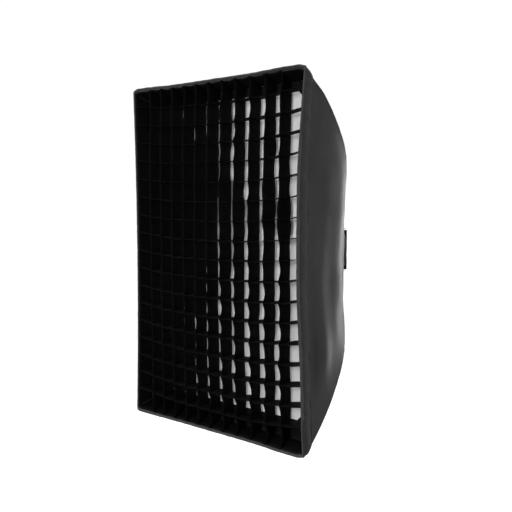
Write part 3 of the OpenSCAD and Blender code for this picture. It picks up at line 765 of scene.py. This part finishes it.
def cut_corners(x, z, half, cut):
    """Points moved in where the corners are cut off across their two sides."""
    back = np.maximum(0.0, cut - (half[0] - np.abs(x)) - (half[1] - np.abs(z))) / 2
    return x - np.copysign(back, x), z - np.copysign(back, z)


def round_corners(x, z, half, radius):
    """Points of a rectangle's grid drawn in, so that its corners are round."""
    dx, dz = np.abs(x) - (half[0] - radius), np.abs(z) - (half[1] - radius)
    corner = (dx > 0) & (dz > 0)
    scale = np.maximum(dx, dz) / np.maximum(np.hypot(dx, dz), 1e-6)
    return (np.where(corner, np.copysign(half[0] - radius + dx * scale, x), x),
            np.where(corner, np.copysign(half[1] - radius + dz * scale, z), z))


def cut_rectangle(half, centre_z, cut):
    def at(t):
        x, z = cut_corners(*on_rectangle(half, t), half, cut)
        return x, z + centre_z
    return at


def cut_outline(depth, inset, cut):
    """The opening's own outline at a depth, with its corners cut off so that the rods pass."""
    way = way_at(depth, inset)
    c = float(seam(way, inset)[0])

    def at(t):
        number, u = side_place(t)
        p = panel(("right", "top", "left", "bottom")[number], np.float64(u), way, inset)
        return cut_corners(p[0], p[2], (c * UX, c * UZ), cut)
    return at


def frame_band(name, outer, inner, body, depth, rows, lift, seed):
    """A flat ring of tape between two outlines, each given for a share of one turn."""
    count = 320
    across = np.linspace(0, 1, rows)[:, None]
    out = np.array([outer(k / count) for k in range(count)])
    inn = np.array([inner(k / count) for k in range(count)])
    flat = out[None] * (1 - across[..., None]) + inn[None] * across[..., None]
    points = np.stack([flat[..., 0], depth - SEAT + 0 * flat[..., 0], flat[..., 1]], -1)
    run = lengths(points, 1)[None, :]
    points[..., 1] += lift * ripple(run, across * 30, 60.0, seed, 5) * (across * (1 - across) * 4)
    edge = np.minimum(across, 1 - across) * float(np.linalg.norm(out - inn, axis=1).mean())
    part = (points, points[..., [0, 2]] / 1000, edge, run)
    return to_mesh(name, [part], HOOK, body, 1.0, inward=False, closed=True)


# ---------------------------------------------------------------- front diffuser
OPEN_HALF, OPEN_Z = (259.0, 393.5), 10.5
DIFFUSER_D, DIFFUSER_IN = 49.2, 8.8


def opening_grid(a, b, depth, inset):
    """The opening filled at one depth: a and b run from -1 to 1 across it and up it."""
    c = seam(way_at(depth, inset), inset)[0]
    x0, z0 = a * c * UX, b * c * UZ
    x = a * np.where(a > 0, wall_right(z0, depth, inset), wall_left(z0, depth, inset))
    x, z = cut_corners(x, b * wall_top(x0, depth, inset), (c * UX, c * UZ), 15.0)
    return np.stack([x, depth - SEAT + 0 * x, z], -1)


a, b = np.linspace(-1, 1, 90)[None, :], np.linspace(-1, 1, 130)[:, None]
flat = opening_grid(a, b, DIFFUSER_D, DIFFUSER_IN)
flat_x, flat_z = flat[..., 0], flat[..., 2]
inside = (np.clip(1 - (flat_x / OPEN_HALF[0]) ** 2, 0, 1)
          * np.clip(1 - ((flat_z - OPEN_Z) / OPEN_HALF[1]) ** 2, 0, 1))
from_rim = np.minimum((1 - np.abs(a)) * 280, (1 - np.abs(b)) * 420)
puckers = np.abs(ripple(flat_x + flat_z, from_rim, 26.0, 72, 5)) * np.exp(-from_rim / 40.0)
white = flat.copy()
white[..., 1] += 0.3 * puckers * (from_rim > 1) - (3.4 + 0.35 * ripple(flat_x, flat_z, 90.0, 71)) * inside
diffuser = to_mesh("front_diffuser_cloth", [(white, white[..., [0, 2]] / 1000, 50.0, 0.0)], DIFFUSER,
                   "diffuser", 0.35, inward=False)
stand_for("front_diffuser")

border = frame_band("diffuser_border_tape", cut_outline(48.3, 4.2, 15.0),
                    cut_rectangle(OPEN_HALF, OPEN_Z, 14.0), "diffuser", 48.1, 7, 0.3, 80)
stand_for("diffuser_border")

tape = frame_band("diffuser_loop_tape_ring", cut_outline(51.0, 6.0, 16.0), cut_outline(51.0, 22.0, 8.0),
                  "softbox", 51.0, 6, 0.15, 81)
stand_for("diffuser_loop_tape")

# the grid's loop tape as (depth, inset) across its width, turned down at both edges
TAPE_SECTION = [(38.0, 2.4), (36.8, 3.6), (25.0, 3.9), (13.2, 3.6), (12.0, 2.4)]
tape_parts = []
for side in SIDES:
    s = np.linspace(-0.955, 0.955, 90)
    grid = np.array([panel(side, s, float(way_at(d, i)), i) for d, i in TAPE_SECTION])
    run = lengths(grid, 1)[None, :]
    depths = np.array([d for d, _ in TAPE_SECTION])[:, None]
    tape_parts.append((grid, cloth_uv(depths, run), np.minimum(38 - depths, depths - 12), run))
tape = to_mesh("grid_loop_tape_strips", tape_parts, HOOK, "softbox", 0.5, inward=False)
stand_for("grid_loop_tape")

# ---------------------------------------------------------------- inner baffle and its straps
BAFFLE_R = 22.0
baffle_lo, baffle_hi = (np.array(v) * 1000 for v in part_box("inner_baffle"))
baffle_half = (baffle_hi - baffle_lo)[[0, 2]] / 2
baffle_y = (baffle_lo[1] + baffle_hi[1]) / 2
a, b = np.linspace(-1, 1, 60)[None, :], np.linspace(-1, 1, 90)[:, None]
x, z = np.broadcast_arrays(a * baffle_half[0], b * baffle_half[1])
x, z = round_corners(x, z, baffle_half, BAFFLE_R)
flat = np.stack([x, baffle_y + 0 * x, z], -1)
belly = (1 - a ** 4) * (1 - b ** 4)
sagged = flat.copy()
sagged[..., 1] += (0.9 * ripple(x, z, 110.0, 91) - 1.5) * belly
baffle = to_mesh("inner_baffle_cloth", [(sagged, sagged[..., [0, 2]] / 1000, 50.0, 0.0)], DIFFUSER,
                 "softbox", 0.35, inward=False)
stand_for("inner_baffle")

# the folded binding's outline as (distance outward from the edge, distance along Y)
HEM_SECTION = [(-8.5, -0.9), (-8.7, -1.3), (-4.0, -1.5), (0.6, -1.3), (1.4, 0.0), (0.6, 1.3), (-4.0, 1.5),
               (-8.7, 1.3), (-8.5, 0.9)]


def hem_row(grow, dy, count=400):
    half, radius = baffle_half + grow, max(4.0, BAFFLE_R + grow)
    row = [round_corners(*on_rectangle(half, k / count), half, radius) for k in range(count)]
    return [(x, baffle_y + dy, z) for x, z in row]


hem = np.array([hem_row(grow, dy) for grow, dy in HEM_SECTION])
run, edge = lengths(hem, 1)[None, :], lengths(hem, 0)[:, None]
hem_piece = to_mesh("baffle_binding_tape", [(hem, cloth_uv(edge, run), edge, run)], WEBBING, "softbox",
                    closed=True)
stand_for("baffle_binding")

# a strap's outline, in shares of half its width and of its thickness
STRAP_SECTION = np.array([(-1.0, -0.25), (-0.96, 0.5), (0.0, 0.62), (0.96, 0.5), (1.0, -0.25), (0.96, -0.5),
                          (0, -0.62), (-0.96, -0.5)])
STRAP_W, STRAP_T, STRAP_Y = 14, 0.9, -248.1


def strap(start, end, across, sag):
    """A flat elastic between two points, a little narrower at its middle, with a slight sag."""
    start, end = np.array(start, float), np.array(end, float)
    t = np.linspace(0, 1, 14)[:, None, None]
    middle = start + (end - start) * t + np.array([0, 0, -1.0]) * sag * (4 * t * (1 - t))
    width = STRAP_W / 2 * (1 - 0.10 * np.sin(np.pi * t))
    points = (middle + np.array(across, float) * STRAP_SECTION[None, :, :1] * width
              + np.array([0, 1.0, 0]) * STRAP_SECTION[None, :, 1:] * STRAP_T)
    long = lengths(points, 0)[:, None]
    return points, cloth_uv(STRAP_SECTION[None, :, 0] * STRAP_W / 2, long), 50.0, long


def rod_at(depth):
    """A rod's distance from the box axis, its depth, and its direction towards the front."""
    way = float(way_at(depth, ROD_INSET))
    r, d = seam(way, ROD_INSET)
    lean = rad(min(way, LEAVE))
    return float(r), float(d), (math.sin(lean), -math.cos(lean))


CORNERS = {"top_right": (1, 1), "top_left": (-1, 1), "bottom_left": (-1, -1), "bottom_right": (1, -1)}
BAFFLE_D = 240.0
# the straps stop this far short of the lining and of the rods
LINING_IN, LINING_GAP, ROD_GAP = 3.5, 8.5, 6.0
to_side = float(wall_right(0.0, BAFFLE_D, LINING_IN)) - LINING_GAP
to_end = float(wall_top(0.0, BAFFLE_D, LINING_IN)) - LINING_GAP
to_rod = rod_at(BAFFLE_D)[0] - ROD_GAP
from_corner = math.hypot(baffle_half[0] - BAFFLE_R * (1 - UX), baffle_half[1]) - 7
straps = []
for sign in (1, -1):
    straps.append(strap((sign * (baffle_half[0] - 4), STRAP_Y, 0), (sign * to_side, STRAP_Y, 0),
                        (0, 0, 1), 0.4))
    straps.append(strap((0, STRAP_Y, sign * (baffle_half[1] - 4)), (0, STRAP_Y, sign * to_end),
                        (1, 0, 0), 0.0))
for sx in (1, -1):
    for sz in (1, -1):
        out, level = np.array([sx * UX, 0, sz * UZ]), np.array([0, STRAP_Y, 0])
        straps.append(strap(out * from_corner + level, out * to_rod + level, (-sz * UZ, 0, sx * UX), 0.6))
elastics = to_mesh("baffle_elastic_straps", straps, WEBBING, "softbox", closed=True)
stand_for("baffle_elastics")

# ---------------------------------------------------------------- rod loops and corner pockets
LOOP_DEPTHS = (110.0, BAFFLE_D)
# from the rod's axis out to where a loop's ends are sewn, and half of the gap between them
SEWN_OUT, SEWN_GAP = 7.2, 0.8


def sewn_loop(sx, sz, d0, d1, ring, steps, taper=0.0):
    """A strip of webbing wrapped round the rod, with both ends sewn into the corner seam."""
    radial = np.array([sx * UX, 0, sz * UZ])
    cross = np.array([-sz * UZ, 0, sx * UX])
    angles = np.radians(np.linspace(-140, 140, 19)) + math.pi
    rows = []
    for d in np.linspace(d0, d1, steps):
        r, depth, (fr, fd) = rod_at(d)
        out = radial * (-fd) + np.array([0, fr, 0])
        centre = radial * r + np.array([0, depth - SEAT, 0])
        size = ring * (1.0 - taper * ((d0 - d) / (d0 - d1)) ** 6)
        tail = centre + out * SEWN_OUT
        rows.append([tail - cross * SEWN_GAP,
                     *[centre + (out * math.cos(t) + cross * math.sin(t)) * size for t in angles],
                     tail + cross * SEWN_GAP])
    points = np.array(rows)
    long, across = lengths(points, 0)[:, None], lengths(points, 1)[None, :]
    return points, cloth_uv(across, long), np.minimum(long, long[-1] - long), across


loops = [sewn_loop(sx, sz, d + 7.5, d - 7.5, 3.6, 10) for sx, sz in CORNERS.values() for d in LOOP_DEPTHS]
piece = to_mesh("rod_loop_webbing", loops, WEBBING, "softbox", 0.6, inward=False)
stand_for("rod_loops")
for name, (sx, sz) in CORNERS.items():
    pocket = sewn_loop(sx, sz, 41.0, 13.0, 4.1, 14, taper=0.35)
    piece = to_mesh("corner_pocket_webbing_" + name, [pocket], POCKET, "softbox", 0.7, inward=False)
    stand_for("corner_pocket_" + name)

# ---------------------------------------------------------------- rear collar and neck flaps
NECK_HALF, NECK_Y = 61.0, -1.5
stops = round_trip(60)
outer = np.array([panel(side, np.float64(t), BACK_WAY + 0.4, 0.3) for side, t in stops])
on_neck = {"right": lambda t: (1, t), "top": lambda t: (-t, 1), "left": lambda t: (-1, -t),
           "bottom": lambda t: (t, -1)}
places = [on_neck[side](t) for side, t in stops]
inner = np.array([(x * NECK_HALF, NECK_Y, z * NECK_HALF) for x, z in places])
share = np.linspace(0, 1, 12)[:, None]
collar = outer * (1 - share[..., None]) + inner * share[..., None]
run = lengths(collar, 1)[None, :]
gather = ripple(run, share * 8, 11.0, 55, 6) * (0.25 + 0.5 * share)
gather = gather * np.sin(np.pi * np.clip(share, 0.02, 0.98)) ** 0.5
collar[..., 1] += 1.6 * np.sin(np.pi * share) + 0.55 * gather
long = lengths(collar, 0)[:, None]
part = (collar, cloth_uv(run, long), np.minimum(long, long[-1] - long), run)
piece = to_mesh("rear_collar_cloth", [part], NECK, "softbox", 0.6, closed=True)
stand_for("rear_collar")

FLAP_L = 24.2
FLAP_HALF = {"right": 59.3, "left": 59.3, "top": 61.6, "bottom": 61.6}


def neck_flap(number, side):
    """A flap from the collar back round the neck, sewn and folded along its front edge."""
    half = FLAP_HALF[side]
    t, v = np.linspace(-1, 1, 60)[None, :], np.linspace(0, 1, 22)[:, None]
    y = -1.2 + FLAP_L * v
    wave = 0.55 * ripple(t * half, y, 26.0, 400 + number, 6) * np.clip(v - 0.12, 0, 1) ** 0.7 + 0.35 * v ** 2
    from_hem = (1 - v) * FLAP_L
    flare = (4.5 if is_long(side) else 2.0) * v ** 1.6
    sign = 1 if side in ("right", "top") else -1
    out = sign * (NECK_HALF + 0.3 + wave + 0.25 * ridge(from_hem, 2.5, 2.0) + flare)
    across = t * half + 0 * v
    y_in = y - 0.5 * (np.abs(t) > 0.985)
    points = np.stack([out, y_in, across] if is_long(side) else [across, y_in, out], -1)
    from_side = (1 - np.abs(t)) * half
    run = np.where(from_hem < from_side, across, y)
    uv = cloth_uv(across, lengths(points, 0)[:, None])
    flap = to_mesh("neck_flap_cloth_" + side, [(points, uv, np.minimum(from_hem, from_side), run)], NECK,
                   None, 1.0, inward=False)
    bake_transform(flap)
    stand_for("neck_flap_" + side)


for number, side in enumerate(SIDES):
    neck_flap(number, side)

# ---------------------------------------------------------------- CAD pieces that keep their shape
SCREW_STEEL = metal("screw_steel", (0.55, 0.55, 0.56), 0.28)
KNOB_PLASTIC = plastic("knob_plastic", 0.014, 0.42)
ZINC_PLATE = metal("zinc_plate", (0.52, 0.52, 0.50), 0.34, (200.0, 200.0, 200.0))
ROD_STEEL = metal("drawn_rod_steel", (0.50, 0.50, 0.51), 0.25, (300.0, 30.0, 300.0))
FINISH = {
    "bayonet_ring": metal("turned_aluminium", (0.72, 0.72, 0.73), 0.26, (40.0, 900.0, 40.0)),
    "retaining_ring": metal("black_ring_metal", (0.020, 0.020, 0.021), 0.42, spots=0.25, metallic=0.4),
    "retainer_screws": SCREW_STEEL,
    "speed_ring": metal("black_cast_metal", (0.022, 0.022, 0.023), 0.48, (90.0, 90.0, 90.0), spots=0.35,
                        metallic=0.4),
    "socket_rivets": SCREW_STEEL,
    "lock_screw": SCREW_STEEL,
    "lock_knob": KNOB_PLASTIC,
    "rod_tips": KNOB_PLASTIC,
    "rod_ferrules": metal("ferrule_brass", (0.60, 0.52, 0.36), 0.30, (40.0, 500.0, 40.0)),
    "baffle_snaps": metal("snap_steel", (0.62, 0.62, 0.63), 0.22),
}
for corner in CORNERS:
    FINISH["rod_socket_" + corner] = ZINC_PLATE
    FINISH["rod_" + corner] = ROD_STEEL

for node, finish in FINISH.items():
    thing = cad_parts[node]
    if not thing.material_slots:
        thing.data.materials.append(finish.mat)
    for place in thing.material_slots:
        place.material = finish.mat


# ---------------------------------------------------------------- floor and backdrop
def stage_piece(name, verts, faces, material):
    """A floor or backdrop that the camera sees but that neither lights nor shades the object."""
    mesh = bpy.data.meshes.new(name)
    mesh.from_pydata(verts, [], faces)
    mesh.materials.append(material.mat)
    piece = bpy.data.objects.new(name, mesh)
    bpy.context.collection.objects.link(piece)
    piece.visible_diffuse = piece.visible_glossy = piece.visible_shadow = False


pale = Nodes("pale_floor")
pale.set(Base_Color=pale.mix(pale.noise(pale.object_place(), 3.0, 3.0), grey(0.92), grey(0.95)),
         Roughness=0.85)
stage_piece("floor", [(-22, -22, -1.15), (22, -22, -1.15), (22, 22, -1.15), (-22, 22, -1.15)],
            [(0, 1, 2, 3)], pale)

white_wall = Nodes("white_backdrop")
white_wall.set(Base_Color=grey(0.0), Specular_IOR_Level=0.0, Emission_Color=grey(1.0),
               Emission_Strength=1.02)
# a round wall under a low cone
COUNT, WALL_R = 48, 20
turn = np.linspace(0, 2 * np.pi, COUNT + 1)[:-1]
ring = np.stack([WALL_R * np.cos(turn), WALL_R * np.sin(turn)], 1)
verts = [(x, y, -1.2) for x, y in ring] + [(x, y, 16.0) for x, y in ring] + [(0.0, 0.0, 20.0)]
faces = []
for k in range(COUNT):
    after = (k + 1) % COUNT
    faces += [(k, after, COUNT + after, COUNT + k), (COUNT + k, COUNT + after, 2 * COUNT)]
stage_piece("backdrop", verts, faces, white_wall)
